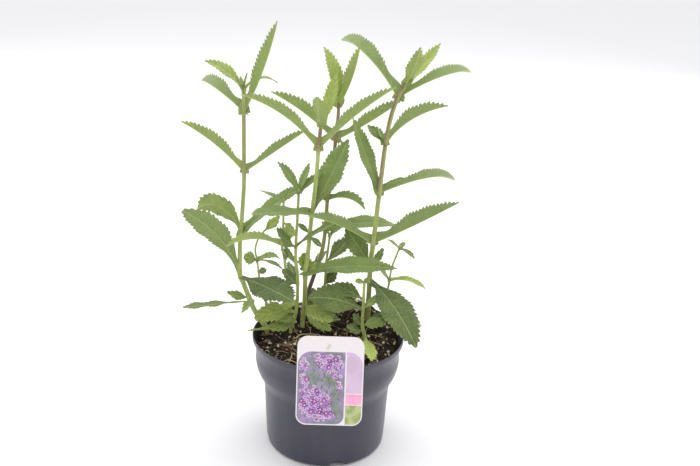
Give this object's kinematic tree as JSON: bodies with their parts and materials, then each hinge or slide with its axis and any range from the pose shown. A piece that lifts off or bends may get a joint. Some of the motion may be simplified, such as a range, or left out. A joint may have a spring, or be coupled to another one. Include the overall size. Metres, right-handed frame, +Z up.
{
  "type": "potted verbena plant",
  "caption": "Young tall verbena with square stems and toothed leaves in opposite pairs, in a round plastic nursery pot with a leaning plant label.",
  "frame": {"origin": "middle of the flat underside of the pot, which stands on the ground", "axes": "+Z up along the stems, +Y away from the side with the label, +X to the right as the label is read"},
  "size_m": [0.32, 0.2252, 0.4759],
  "materials": {
    "pot_plastic": "smooth dark blue-grey polypropylene with a satin sheen",
    "potting_soil": "damp dark peat with pale grains, bark and dry roots",
    "label_card": "printed plastic card with a white head band and a picture panel",
    "foliage": "fresh matt green leaves with paler veins and undersides, on ridged green stems"
  },
  "bodies": {
    "root": {"pot": "pot_plastic", "soil": "potting_soil", "label": "label_card", "stem_left_tall": "foliage", "stem_middle_tall": "foliage", "stem_woody": "foliage", "stem_right_tall": "foliage", "stem_thin_left": "foliage", "stem_wisp": "foliage", "stem_short_left": "foliage", "stem_short_back": "foliage", "stem_short_right": "foliage", "stem_front": "foliage"}
  },
  "joints": []
}
